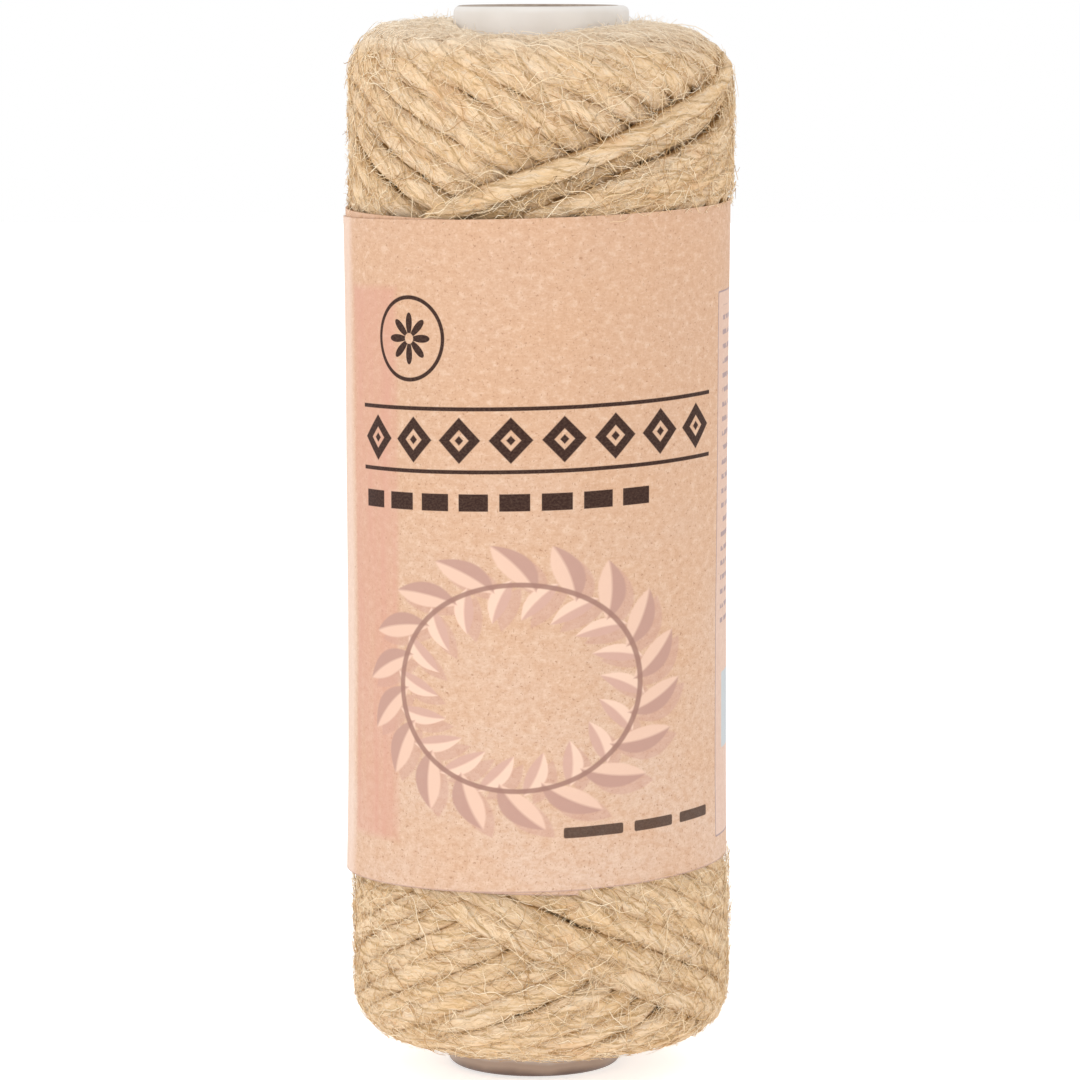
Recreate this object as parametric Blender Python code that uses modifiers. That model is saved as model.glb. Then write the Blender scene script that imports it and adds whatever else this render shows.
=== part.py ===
"""Roll of jute cord: a paper-covered tube, cord wound across it, and a paper band round the cord.

Metres, +Z up. The roll stands on the lower end of its tube; the origin is the
centre of that end. Angles run round the roll from its front (-Y) towards +X.
"""
import math
from collections import namedtuple

import bmesh
import bpy

# --- the tube the cord is wound on --------------------------------------------
TUBE_LENGTH = 0.1516
TUBE_RADIUS = 0.0124
TUBE_WALL = 0.0047
TUBE_EDGE_ROUNDING = 0.0009     # the paper cover turns over the outer edges
TUBE_BORE_ROUNDING = 0.0003
TUBE_SIDES = 64

# --- the wound cord --------------------------------------------------------------
WOUND_RADIUS = 0.02695          # middle of the cords of the outermost layer
WOUND_FOOT = 0.0043             # height of the lower end face
WOUND_HEAD = 0.1485             # height of the upper end face, at its rim
HEAD_CROWN = 0.0009             # the upper end face rises this much towards the tube
HEAD_SHOULDER = 0.0065          # radius of the rounded upper rim
FOOT_SHOULDER = 0.0070          # radius of the rounded lower rim
TURN_ON_SHOULDER = math.radians(55)   # where on the rims the cord turns back
TUBE_CLEARANCE = 0.0003
STRANDS_ROUND = 22              # cords met on one level circle of the roll
CORD_POINTS = 3                 # points across one cord: its back, and the groove's two sides
COLUMNS = CORD_POINTS * STRANDS_ROUND
STRAND_SLOPE = 0.45             # rise of a cord per length round the roll
TURN_SOFTNESS = 0.0060          # how early a cord bends before it turns back
CORD_RELIEF = 0.00040           # height of a cord's back, and depth of the groove beside it
LAST_CORD_LIFT = 0.00035        # the cord laid last rides on the others
COIL_PITCH = 0.0033             # cord to cord on the end faces
HEAD_TURN_COLUMN = 21           # where the last cord turns back, in columns from the front
FOOT_TURN_COLUMN = 20

# --- the paper band ---------------------------------------------------------------
BAND_FOOT = 0.0298
BAND_HEAD = 0.1232
BAND_WALL = 0.0010
BAND_SLANT = math.tan(math.radians(1.7))   # the band was wrapped on a little askew
BAND_CLEARANCE = 0.0003
BAND_STEP = 0.0006              # height over which the cord bulges out past the band's edge
BAND_MARGIN = 0.0022            # level rows of cord start this far from the band
BAND_SIDES = 72
BAND_RADII = ((0.00, 0.02745), (0.12, 0.02725), (0.40, 0.02720), (0.80, 0.02735), (1.00, 0.02760))

# one level ring of points on the winding: where it is, which way it faces, and its
# place in the coil or in columns past the turn
Row = namedtuple("Row", "zone radius height out up count")

PAPER_WHITE = (0.78, 0.76, 0.73, 1.0)
JUTE = (0.60, 0.42, 0.23, 1.0)
KRAFT = (0.78, 0.54, 0.38, 1.0)


def clear_scene():
    """Remove every object that is already in the file."""
    for item in list(bpy.data.objects):
        bpy.data.objects.remove(item, do_unlink=True)


def make_material(name, colour, roughness):
    """A plain Principled material."""
    material = bpy.data.materials.new(name)
    material.use_nodes = True
    shader = material.node_tree.nodes["Principled BSDF"]
    shader.inputs["Base Color"].default_value = colour
    shader.inputs["Roughness"].default_value = roughness
    return material


def arc_points(centre, radius, start, end, count):
    """Points (r, z) on an arc, angles measured from +r towards +z."""
    angles = [start + (end - start) * i / (count - 1) for i in range(count)]
    return [(centre[0] + radius * math.cos(a), centre[1] + radius * math.sin(a)) for a in angles]


def turned_mesh(name, profile, sides):
    """Turn a closed (r, z) profile, given down its outer side, about the Z axis."""
    mesh = bpy.data.meshes.new(name)
    count = len(profile)
    loop = [(i, (i + 1) % count) for i in range(count)]
    mesh.from_pydata([(r, 0.0, z) for r, z in profile], loop, [])
    turned = bpy.data.objects.new(name + "_profile", mesh)
    bpy.context.scene.collection.objects.link(turned)
    screw = turned.modifiers.new("Screw", "SCREW")
    screw.steps = sides
    screw.render_steps = sides
    screw.use_merge_vertices = True
    screw.merge_threshold = 0.00001
    bpy.context.view_layer.update()
    evaluated = turned.evaluated_get(bpy.context.evaluated_depsgraph_get())
    result = bpy.data.meshes.new_from_object(evaluated)
    bpy.data.objects.remove(turned, do_unlink=True)
    return result


def place(name, mesh, collection, material, sharp_degrees=40):
    """Add a finished mesh to the roll as a named object."""
    mesh.materials.clear()
    mesh.materials.append(material)
    mesh.shade_smooth()
    mesh.set_sharp_from_angle(angle=math.radians(sharp_degrees))
    item = bpy.data.objects.new(name, mesh)
    collection.objects.link(item)
    return item


# --- tube ----------------------------------------------------------------------------
def tube_profile():
    """The tube's wall: outer edges well rounded, bore edges slightly."""
    bore = TUBE_RADIUS - TUBE_WALL
    outer = TUBE_RADIUS - TUBE_EDGE_ROUNDING
    inner = bore + TUBE_BORE_ROUNDING
    quarter = math.pi / 2
    head_out = (outer, TUBE_LENGTH - TUBE_EDGE_ROUNDING)
    foot_out = (outer, TUBE_EDGE_ROUNDING)
    foot_in = (inner, TUBE_BORE_ROUNDING)
    head_in = (inner, TUBE_LENGTH - TUBE_BORE_ROUNDING)
    return (arc_points(head_out, TUBE_EDGE_ROUNDING, quarter, 0.0, 4)
            + arc_points(foot_out, TUBE_EDGE_ROUNDING, 0.0, -quarter, 4)
            + arc_points(foot_in, TUBE_BORE_ROUNDING, -quarter, -2 * quarter, 2)
            + arc_points(head_in, TUBE_BORE_ROUNDING, 2 * quarter, quarter, 2))


def build_tube(collection):
    """The paper-covered tube, open right through."""
    mesh = turned_mesh("core_tube", tube_profile(), TUBE_SIDES)
    return place("core_tube", mesh, collection, make_material("tube_paper", PAPER_WHITE, 0.45))


# --- wound cord --------------------------------------------------------------------------
def strand_drop(past):
    """How far down the shell a cord has come, a number of columns past its turn.

    A hyperbola: level at the turn, then straight down at STRAND_SLOPE.
    """
    travel = past * 2 * math.pi * WOUND_RADIUS / COLUMNS
    return math.hypot(travel * STRAND_SLOPE, TURN_SOFTNESS) - TURN_SOFTNESS


def face_length(shoulder):
    """Length of an end face, from the end of its shoulder in to the tube."""
    return WOUND_RADIUS - shoulder - TUBE_RADIUS - TUBE_CLEARANCE


def shell_point(along, shoulder, crown):
    """A point (radius, depth below the end) a length along the wound form.

    Negative lengths lie on the straight side, positive ones round the shoulder and
    then inwards over the end face, which rises by crown towards the tube.
    """
    quarter = shoulder * math.pi / 2
    if along <= 0.0:
        return WOUND_RADIUS, shoulder - along
    if along < quarter:
        angle = along / shoulder
        return WOUND_RADIUS - shoulder * (1 - math.cos(angle)), shoulder * (1 - math.sin(angle))
    inwards = along - quarter
    return WOUND_RADIUS - shoulder - inwards, -crown * inwards / face_length(shoulder)


def end_rows(zone, shoulder, crown, side_length, end_height, facing):
    """The rows of one end, from the tube outwards and along the side.

    The end face has a coil of level cords. From the turn on, each row lies where
    a cord has moved on by one more column.
    """
    turn = TURN_ON_SHOULDER * shoulder
    inner_edge = shoulder * math.pi / 2 + face_length(shoulder)
    coil_steps = round((inner_edge - turn) / COIL_PITCH * CORD_POINTS)
    places = [(zone + "_coil", inner_edge + (turn - inner_edge) * i / coil_steps, i)
              for i in range(coil_steps)]
    places.append((zone, turn, 0))
    past = 2
    while turn - strand_drop(past) > -side_length:
        places.append((zone, turn - strand_drop(past), past))
        past += 1
    rows = []
    for name, along, count in places:
        radius, depth = shell_point(along, shoulder, crown)
        angle = min(max(along / shoulder, 0.0), math.pi / 2)
        height = end_height - depth * facing
        rows.append(Row(name, radius, height, math.cos(angle), facing * math.sin(angle), count))
    return rows


def band_rows(head_count, foot_count):
    """The rows at the band: just inside its outline, and a step out past each edge.

    The counts are the columns past the turn of the last rows above and below.
    """
    inset = BAND_WALL + BAND_CLEARANCE
    rows = [Row("band", radius - inset, BAND_FOOT + share * (BAND_HEAD - BAND_FOOT), 1.0, 0.0, 0)
            for share, radius in BAND_RADII]
    rows[0] = rows[0]._replace(height=BAND_FOOT - BAND_CLEARANCE)
    rows[-1] = rows[-1]._replace(height=BAND_HEAD + BAND_CLEARANCE)
    foot_height = rows[0].height - BAND_STEP
    head_height = rows[-1].height + BAND_STEP
    foot_step = Row("foot_step", WOUND_RADIUS, foot_height, 1.0, 0.0, foot_count + 1)
    head_step = Row("head_step", WOUND_RADIUS, head_height, 1.0, 0.0, head_count + 1)
    return [foot_step] + rows + [head_step]


def wound_rows():
    """All rows of the wound body, from the upper bore edge over the outside to the lower one."""
    head_side = WOUND_HEAD - HEAD_SHOULDER - BAND_HEAD - BAND_MARGIN
    foot_side = BAND_FOOT - BAND_MARGIN - WOUND_FOOT - FOOT_SHOULDER
    head = end_rows("head", HEAD_SHOULDER, HEAD_CROWN, head_side, WOUND_HEAD, 1)
    foot = end_rows("foot", FOOT_SHOULDER, 0.0, foot_side, WOUND_FOOT, -1)
    return head + band_rows(head[-1].count, foot[-1].count)[::-1] + foot[::-1]


def swell(angle, height):
    """Slow unevenness of the whole winding: fuller on the right near the top."""
    share = height / WOUND_HEAD
    wide = 0.00032 * share * math.sin(angle) + 0.00012 * math.sin(2 * angle + 1.1)
    return wide + 0.00010 * math.sin(3 * angle + 5.0 * share)


def turn_offset(zone, column):
    """Columns from the last cord's turn to a column, between minus and plus half a round."""
    turn_column = HEAD_TURN_COLUMN if zone.startswith("head") else FOOT_TURN_COLUMN
    return (column - turn_column + COLUMNS // 2) % COLUMNS - COLUMNS // 2


def cord_height(row, column):
    """Height of a point over the wound form: a cord's back, or the groove beside it.

    Going round, every CORD_POINTS-th point is a back. From row to row the backs
    move one column: towards the turn for the cords that lie inside the last cord's
    way to its turn and back, and away from it for all others. The last cord's own
    two stretches stand higher.
    """
    if row.zone.endswith("coil"):
        return CORD_RELIEF if row.count % CORD_POINTS == 1 else -CORD_RELIEF
    if row.count == 0:
        return 0.0
    offset = turn_offset(row.zone, column)
    distance = abs(offset) - row.count
    if distance == 0:
        return CORD_RELIEF + LAST_CORD_LIFT
    if distance == 1:
        return -CORD_RELIEF
    way = row.count if distance < 0 else -row.count
    return CORD_RELIEF if (offset + way) % CORD_POINTS == 0 else -CORD_RELIEF


def raise_cords(mesh, rows):
    """Move the turned form's points out to the cords' backs and in to the grooves.

    Returns each point's row and column.
    """
    places = []
    for vertex in mesh.vertices:
        row = rows[vertex.index % len(rows)]
        turned = math.atan2(vertex.co.x, -vertex.co.y) / (2 * math.pi) * COLUMNS
        column = math.floor(turned + 0.25) % COLUMNS    # the Screw may start half a column off
        angle = column / COLUMNS * 2 * math.pi
        places.append((vertex.index % len(rows), column))
        radius, height, lift = row.radius, row.height, 0.0
        if row.zone == "band" or row.zone.endswith("step"):
            height += radius * math.sin(angle) * BAND_SLANT
        if row.zone != "band":
            lift = swell(angle, height) * row.out
            if row is not rows[0] and row is not rows[-1]:
                lift += cord_height(row, column)
        radius += lift * row.out
        height += lift * row.up
        vertex.co = (radius * math.sin(angle), -radius * math.cos(angle), height)
    return places


def cut_along_cords(mesh, rows, places):
    """Cut each four-sided face from corner to corner along the cord that lies on top.

    Near the head a cord runs down to the right, except between the last cord's
    way up and its way down, where the cords that rise to the right lie on top.
    Near the foot it is the other way about.
    """
    shape = bmesh.new()
    shape.from_mesh(mesh)
    for face in list(shape.faces):
        corners = {places[vertex.index]: vertex for vertex in face.verts}
        upper = min(row for row, column in corners)
        lower = max(row for row, column in corners)
        columns = sorted({column for row, column in corners})
        wraps = columns[-1] - columns[0] > 1
        left, right = (columns[-1], columns[0]) if wraps else (columns[0], columns[-1])
        zone = rows[upper].zone
        reach = max(rows[upper].count, rows[lower].count)
        between = -reach <= turn_offset(zone, left) < reach
        rises = between if zone.startswith("head") else not between
        ends = ((lower, left), (upper, right)) if rises else ((upper, left), (lower, right))
        if lower - upper == 1:
            bmesh.ops.connect_vert_pair(shape, verts=[corners[end] for end in ends])
    bmesh.ops.triangulate(shape, faces=shape.faces[:])
    shape.to_mesh(mesh)
    shape.free()


def build_winding(collection):
    """The wound cord as one body: its form, its crossing cords, and its coiled ends."""
    rows = wound_rows()
    mesh = turned_mesh("winding", [(row.radius, row.height) for row in rows], COLUMNS)
    places = raise_cords(mesh, rows)
    cut_along_cords(mesh, rows, places)
    return place("winding", mesh, collection, make_material("jute", JUTE, 0.85), 180)


# --- paper band ------------------------------------------------------------------------------
def build_band(collection):
    """The paper band: a slightly waisted sleeve, set a little askew."""
    outer = [(radius, BAND_HEAD - (1 - share) * (BAND_HEAD - BAND_FOOT))
             for share, radius in reversed(BAND_RADII)]
    inner = [(radius - BAND_WALL, height) for radius, height in reversed(outer)]
    mesh = turned_mesh("label", outer + inner, BAND_SIDES)
    for vertex in mesh.vertices:
        vertex.co.z += vertex.co.x * BAND_SLANT
    return place("label", mesh, collection, make_material("kraft_paper", KRAFT, 0.75))


def main():
    clear_scene()
    collection = bpy.data.collections.new("jute_cord_roll")
    bpy.context.scene.collection.children.link(collection)
    build_tube(collection)
    build_winding(collection)
    build_band(collection)


main()
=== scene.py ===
import math

import bpy
import numpy as np
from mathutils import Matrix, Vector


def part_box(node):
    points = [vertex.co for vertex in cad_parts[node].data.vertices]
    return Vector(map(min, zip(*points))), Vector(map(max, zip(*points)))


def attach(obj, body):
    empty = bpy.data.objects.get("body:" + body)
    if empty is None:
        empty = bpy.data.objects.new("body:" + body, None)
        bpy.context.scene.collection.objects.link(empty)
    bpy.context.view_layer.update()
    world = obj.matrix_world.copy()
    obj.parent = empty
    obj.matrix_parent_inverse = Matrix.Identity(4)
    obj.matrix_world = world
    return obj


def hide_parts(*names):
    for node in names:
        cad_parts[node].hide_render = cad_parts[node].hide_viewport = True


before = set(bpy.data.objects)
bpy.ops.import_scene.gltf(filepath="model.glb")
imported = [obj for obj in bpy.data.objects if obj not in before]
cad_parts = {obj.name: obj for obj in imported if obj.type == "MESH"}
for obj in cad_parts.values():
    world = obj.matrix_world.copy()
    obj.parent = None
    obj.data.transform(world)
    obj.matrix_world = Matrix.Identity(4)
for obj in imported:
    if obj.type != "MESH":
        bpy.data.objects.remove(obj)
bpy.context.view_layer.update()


# --- Camera and light --------------------------------------------------------------
# A long lens a little above the middle of the standing roll, turned down by seven
# degrees, in front of a white sweep with one large soft window on either side.
VIEW_DISTANCE = 0.713
VIEW_HEIGHT = 0.0756
VIEW_DOWN = math.radians(7.1)

camera = bpy.data.objects.new("camera", bpy.data.cameras.new("camera"))
camera.data.lens = 166.3
camera.data.sensor_width = 36.0
camera.data.shift_x = 0.002
camera.data.clip_start = 0.01
camera.location = (0.0, -VIEW_DISTANCE * math.cos(VIEW_DOWN),
                   VIEW_HEIGHT + VIEW_DISTANCE * math.sin(VIEW_DOWN))
camera.rotation_euler = (math.pi / 2 - VIEW_DOWN, 0.0, 0.0)
bpy.context.scene.collection.objects.link(camera)
bpy.context.scene.camera = camera
bpy.context.scene.view_settings.view_transform = "Standard"


def soft_light(name, place, aim, size, power):
    """A square area light at a place, facing a point."""
    lamp = bpy.data.lights.new(name, "AREA")
    lamp.shape = "SQUARE"
    lamp.size = size
    lamp.energy = power
    item = bpy.data.objects.new(name, lamp)
    item.location = place
    away = np.array(place) - np.array(aim)
    flat = math.hypot(away[0], away[1])
    item.rotation_euler = (math.atan2(flat, away[2]), 0.0, math.atan2(away[0], -away[1]))
    bpy.context.scene.collection.objects.link(item)


soft_light("window_left", (-0.62, -0.48, 0.20), (0, 0, 0.07), 0.50, 1.65)
soft_light("window_right", (0.55, -0.60, 0.16), (0, 0, 0.07), 0.45, 1.05)
soft_light("sky_top", (-0.1, -0.1, 0.80), (0, 0, 0.08), 0.60, 0.5)

world = bpy.data.worlds.new("studio")
bpy.context.scene.world = world
world.use_nodes = True
world.node_tree.nodes["Background"].inputs["Color"].default_value = (1.0, 1.0, 1.0, 1.0)
world.node_tree.nodes["Background"].inputs["Strength"].default_value = 1.0


# --- Floor ------------------------------------------------------------------------
# A plain white sweep of paper that the roll stands on. It glows a little, most of
# all close to the roll, so that it stays white there.
FLOOR_HALF = 2.0
FLOOR_LEVEL = -0.0002
GLOW_NEAR = 0.026               # radius within which the floor glows most
GLOW_FAR = 0.050                # radius from which it glows least


def grid_faces(rows, columns, wrap):
    """Quads of a grid of points stored row by row; wrap joins the last column to the first."""
    across = columns if wrap else columns - 1
    first = np.arange(rows - 1)[:, None] * columns + np.arange(across)[None, :]
    beside = np.arange(rows - 1)[:, None] * columns + (np.arange(across)[None, :] + 1) % columns
    return np.stack([first, beside, beside + columns, first + columns], axis=-1).reshape(-1, 4)


def new_piece(name, points, faces, material, layers=()):
    """A smooth object at the origin from points in metres and arrays of faces (faces, corners).

    layers are its UV layers: each a name and an array with two values for every face corner.
    """
    mesh = bpy.data.meshes.new(name)
    mesh.vertices.add(len(points))
    mesh.vertices.foreach_set("co", np.asarray(points, np.float32).ravel())
    corners = np.concatenate([part.ravel() for part in faces]).astype(np.int32)
    mesh.loops.add(len(corners))
    mesh.loops.foreach_set("vertex_index", corners)
    sizes = np.concatenate([np.full(len(part), part.shape[1]) for part in faces])
    mesh.polygons.add(len(sizes))
    mesh.polygons.foreach_set("loop_start", (np.cumsum(sizes) - sizes).astype(np.int32))
    for layer, values in layers:
        mesh.uv_layers.new(name=layer).data.foreach_set("uv", np.asarray(values, np.float32).ravel())
    mesh.update(calc_edges=True)
    mesh.shade_smooth()
    mesh.materials.append(material)
    item = bpy.data.objects.new(name, mesh)
    bpy.context.scene.collection.objects.link(item)
    return item


class Nodes:
    """Short calls for building one material's node tree."""

    def __init__(self, name):
        self.material = bpy.data.materials.new(name)
        self.material.use_nodes = True
        self.tree = self.material.node_tree

    def add(self, kind, **settings):
        node = self.tree.nodes.new(kind)
        for key, value in settings.items():
            setattr(node, key, value)
        return node

    def put(self, value, socket):
        """Links or sets an input. A colour is given as red, green and blue."""
        if isinstance(value, bpy.types.NodeSocket):
            self.tree.links.new(value, socket)
        elif value is not None:
            socket.default_value = (*value, 1.0) if socket.type == "RGBA" else value

    def finish(self, inputs):
        """Gives the material its finish: values for the shader's inputs, by name."""
        for name, value in inputs.items():
            self.put(value, self.tree.nodes["Principled BSDF"].inputs[name])

    def math(self, operation, a, b=None, c=None):
        node = self.add("ShaderNodeMath", operation=operation)
        for value, socket in zip((a, b, c), node.inputs):
            self.put(value, socket)
        return node.outputs[0]

    def plus(self, a, b):
        return self.math("ADD", a, b)

    def minus(self, a, b):
        return self.math("SUBTRACT", a, b)

    def times(self, a, b):
        return self.math("MULTIPLY", a, b)

    def absolute(self, a):
        return self.math("ABSOLUTE", a)

    def hypot(self, a, b):
        return self.math("SQRT", self.math("MULTIPLY_ADD", a, a, self.times(b, b)))

    def place(self):
        """Where a point lies on the object, in metres."""
        return self.add("ShaderNodeTexCoord").outputs["Object"]

    def uv(self, layer):
        return self.add("ShaderNodeUVMap", uv_map=layer).outputs[0]

    def split(self, vector):
        node = self.add("ShaderNodeSeparateXYZ")
        self.put(vector, node.inputs[0])
        return node.outputs

    def mix(self, share, a, b):
        node = self.add("ShaderNodeMix", data_type="RGBA")
        self.put(share, node.inputs[0])
        self.put(a, node.inputs[6])
        self.put(b, node.inputs[7])
        return node.outputs[2]

    def noise(self, vector, scale, detail=3.0, roughness=0.5):
        node = self.add("ShaderNodeTexNoise")
        self.put(vector, node.inputs["Vector"])
        node.inputs["Scale"].default_value = scale
        node.inputs["Detail"].default_value = detail
        node.inputs["Roughness"].default_value = roughness
        return node.outputs[0]

    def scaled(self, vector, scale, turn=0.0, shift=(0.0, 0.0)):
        """A vector stretched, turned about its third axis and shifted in its first two."""
        node = self.add("ShaderNodeMapping")
        self.put(vector, node.inputs["Vector"])
        node.inputs["Scale"].default_value = scale
        node.inputs["Rotation"].default_value = (0.0, 0.0, turn)
        node.inputs["Location"].default_value = (*shift, 0.0)
        return node.outputs[0]

    def flat_noise(self, vector, across, along, detail, roughness, turn=0.0, shift=(0.0, 0.0)):
        """Noise on a UV map, with its own scale each way."""
        return self.noise(self.scaled(vector, (across, along, 1.0), turn, shift), 1.0, detail, roughness)

    def ramp(self, value, low, high, to_low=0.0, to_high=1.0):
        node = self.add("ShaderNodeMapRange", clamp=True)
        self.put(value, node.inputs["Value"])
        for key, number in (("From Min", low), ("From Max", high), ("To Min", to_low), ("To Max", to_high)):
            node.inputs[key].default_value = number
        return node.outputs[0]

    def tinted(self, base, *rows):
        """A colour with others over it, each from 0 to its share as its value goes from low to high.

        rows: value, low, high, share, colour
        """
        for value, low, high, share, colour in rows:
            base = self.mix(self.ramp(value, low, high, 0.0, share), base, colour)
        return base

    def bump(self, height, distance, strength):
        node = self.add("ShaderNodeBump")
        node.inputs["Distance"].default_value = distance
        node.inputs["Strength"].default_value = strength
        self.put(height, node.inputs["Height"])
        return node.outputs[0]


sweep_paper = Nodes("sweep_paper")
sweep_across, sweep_back = sweep_paper.split(sweep_paper.place())[:2]
from_roll = sweep_paper.hypot(sweep_across, sweep_back)
sweep_paper.finish({"Base Color": (0.85, 0.85, 0.85), "Roughness": 0.9, "Emission Color": (1.0, 1.0, 1.0),
                    "Emission Strength": sweep_paper.ramp(from_roll, GLOW_FAR, GLOW_NEAR, 0.42, 0.58)})
floor_sides = (-FLOOR_HALF, FLOOR_HALF)
floor_points = [(x, y, FLOOR_LEVEL) for y in floor_sides for x in floor_sides]
floor = new_piece("floor", floor_points, [grid_faces(2, 2, False)], sweep_paper.material)


# --- Tube ----------------------------------------------------------------------------
# The tube the cord is wound on: grey board wound in several plies, covered with
# smooth white paper that is turned over the ends, with painted shade browning it at the foot.
tube_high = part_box("core_tube")[1]
TUBE_RADIUS = tube_high.x
TUBE_LENGTH = tube_high.z
TUBE_BORE = TUBE_RADIUS - 0.0047
TUBE_EDGE = 0.0010              # rounding of its outer edges
BORE_EDGE = 0.0004              # rounding of its inner edges
TUBE_LEAN = 0.0005              # how far its ends stand to either side of its middle
TUBE_POINTS_ROUND = 128
BOARD_PLY = 0.00055
QUARTER = math.pi / 2


def grid_normals_outward(points, faces):
    """True where the closed surface's faces point out: its signed volume is above nought."""
    a, b, c = points[faces[:, 0]], points[faces[:, 1]], points[faces[:, 2]]
    return np.einsum("ij,ij->", a, np.cross(b, c)) > 0


def revolved(profile, count):
    """Points (rings * count, 3) of a profile of (radius, height) turned about the roll's axis.

    Angles run from the front (-Y) towards +X.
    """
    angle = np.linspace(0.0, 2 * np.pi, count, endpoint=False)[None, :]
    radius = profile[:, 0:1]
    height = profile[:, 1:2] * np.ones_like(angle)
    return np.stack([radius * np.sin(angle), -radius * np.cos(angle), height], axis=-1).reshape(-1, 3)


def arc(centre, radius, start, end, count):
    """Points (radius, height) on an arc, angles measured from outwards towards up."""
    angle = np.linspace(start, end, count)
    return np.stack([centre[0] + radius * np.cos(angle), centre[1] + radius * np.sin(angle)], axis=-1)


def closed_ring_faces(points, rings, count):
    """Quads of a grid that closes on itself both ways, like a ring's skin, facing outwards."""
    first = np.arange(rings)[:, None] * count
    after = np.roll(first, -1)
    here = np.arange(count)[None, :]
    beside = (here + 1) % count
    faces = np.stack([first + here, after + here, after + beside, first + beside], axis=-1).reshape(-1, 4)
    return faces if grid_normals_outward(points, faces) else faces[:, ::-1]


side = np.linspace(TUBE_LENGTH - TUBE_EDGE, TUBE_EDGE, 24)[1:-1]
bore_side = np.linspace(BORE_EDGE, TUBE_LENGTH - BORE_EDGE, 12)[1:-1]
tube_profile = np.concatenate([
    arc((TUBE_RADIUS - TUBE_EDGE, TUBE_LENGTH - TUBE_EDGE), TUBE_EDGE, QUARTER, 0.0, 7),
    np.stack([np.full_like(side, TUBE_RADIUS), side], axis=-1),
    arc((TUBE_RADIUS - TUBE_EDGE, TUBE_EDGE), TUBE_EDGE, 0.0, -QUARTER, 7),
    arc((TUBE_BORE + BORE_EDGE, BORE_EDGE), BORE_EDGE, -QUARTER, -2 * QUARTER, 4),
    np.stack([np.full_like(bore_side, TUBE_BORE), bore_side], axis=-1),
    arc((TUBE_BORE + BORE_EDGE, TUBE_LENGTH - BORE_EDGE), BORE_EDGE, 2 * QUARTER, QUARTER, 4),
])
tube_points = revolved(tube_profile, TUBE_POINTS_ROUND)
tube_points[:, 0] += TUBE_LEAN * (2 * tube_points[:, 2] / TUBE_LENGTH - 1)
tube_faces = closed_ring_faces(tube_points, len(tube_profile), TUBE_POINTS_ROUND)

tube_paper = Nodes("tube_paper")
place = tube_paper.place()
across, back, up = tube_paper.split(place)
from_axis = tube_paper.hypot(across, back)
cut = tube_paper.ramp(from_axis, TUBE_RADIUS - 0.0009, TUBE_RADIUS - 0.0012)
board_plies = tube_paper.math("SINE", tube_paper.times(from_axis, 2 * math.pi / BOARD_PLY))
grain = tube_paper.noise(tube_paper.scaled(place, (900.0, 900.0, 260.0)), 1.0, 4.0)
board = tube_paper.mix(tube_paper.ramp(grain, 0.3, 0.7), (0.30, 0.235, 0.185), (0.44, 0.36, 0.29))
board = tube_paper.tinted(board, (board_plies, -0.4, 1.0, 0.35, (0.20, 0.15, 0.115)))
smudge = tube_paper.noise(place, 160.0)
# painted shade: the paper turns brown and then dark towards the tube's foot
foot_shade_level = tube_paper.plus(up, tube_paper.times(smudge, 0.0012))
white = tube_paper.mix(tube_paper.ramp(smudge, 0.35, 0.75), (0.708, 0.674, 0.640), (0.660, 0.620, 0.575))
white = tube_paper.tinted(white, (foot_shade_level, 0.0040, 0.0024, 1.0, (0.352, 0.253, 0.193)),
                          (foot_shade_level, 0.0019, 0.0009, 1.0, (0.118, 0.069, 0.052)))
tube_paper.finish({"Base Color": tube_paper.mix(cut, white, board),
                   "Roughness": tube_paper.ramp(cut, 0.0, 1.0, 0.38, 0.85),
                   "Normal": tube_paper.bump(grain, 0.00005, 0.35)})

tube = new_piece("tube", tube_points, [tube_faces], tube_paper.material)
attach(tube, "root")
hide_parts("core_tube")


# --- Cord ---------------------------------------------------------------------------------
# Hairy four-ply jute cord wound across the tube from end to end and back. Each time
# it comes to an end it turns back a little to the left of where it turned before,
# so the newest stretches lie across the older ones.
WOUND_RADIUS = 0.02735          # outer skin of the wound cord, under the band
END_RADIUS = {"head": 0.02720, "foot": 0.02690}
WOUND_LENGTH_ROUND = 2 * math.pi * WOUND_RADIUS
SHOULDER = {"head": 0.0066, "foot": 0.0070}
FACE_START = {end: SHOULDER[end] * QUARTER for end in SHOULDER}     # length round the shoulder
END_HEIGHT = {"head": 0.1485, "foot": 0.0045}
END_SHIFT = 0.0005              # the wound ends lie a little to the right of the band
END_RISE = {"head": -0.10, "foot": 0.04}    # slope of the end faces, above 0 if sunk at the tube
FACING = {"head": 1.0, "foot": -1.0}
DIP_ANGLE = math.radians(-18)   # where the head's end face is pressed down in front of the tube
DIP_DEPTH = 0.0016
HEAP_ANGLE = math.radians(-95)  # where it is heaped up against the tube
HEAP_HEIGHT = 0.0008
CORNER_ANGLE = math.radians(85)     # where the head's shoulder is worn rounder, on its right
CORNER_DEPTH = 0.0013
TURN_ALONG = {"head": math.radians(55) * SHOULDER["head"],      # where on the shoulder the cord turns
              "foot": math.radians(70) * SHOULDER["foot"]}
STRANDS_ROUND = 22
STRAND_ANGLE = 2 * math.pi / STRANDS_ROUND
PITCH = WOUND_LENGTH_ROUND / STRANDS_ROUND
CORD_THICKNESS = 0.0026
CORD_LAY = 0.024                # length in which the four plies turn once round
PLIES = 4
PERIMETER_MM = 9.0
TOP_DEPTH = 0.00130             # from the skin down to the middle of a cord of the top layer
UNDER_DEPTH = 0.00345
BAND_HEIGHT = 0.0934
BAND_START = math.radians(12)   # where the paper band's inner end lies, round from the front
BAND_LOWER_EDGE = (
    np.radians([0, 37, 102, 200, 250, 282, 320, 360, 372, 462, 480]),
    np.array([29.27, 29.45, 29.77, 30.58, 30.92, 31.03, 30.62, 29.98, 29.80, 28.53, 28.28]) / 1000)
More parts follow.
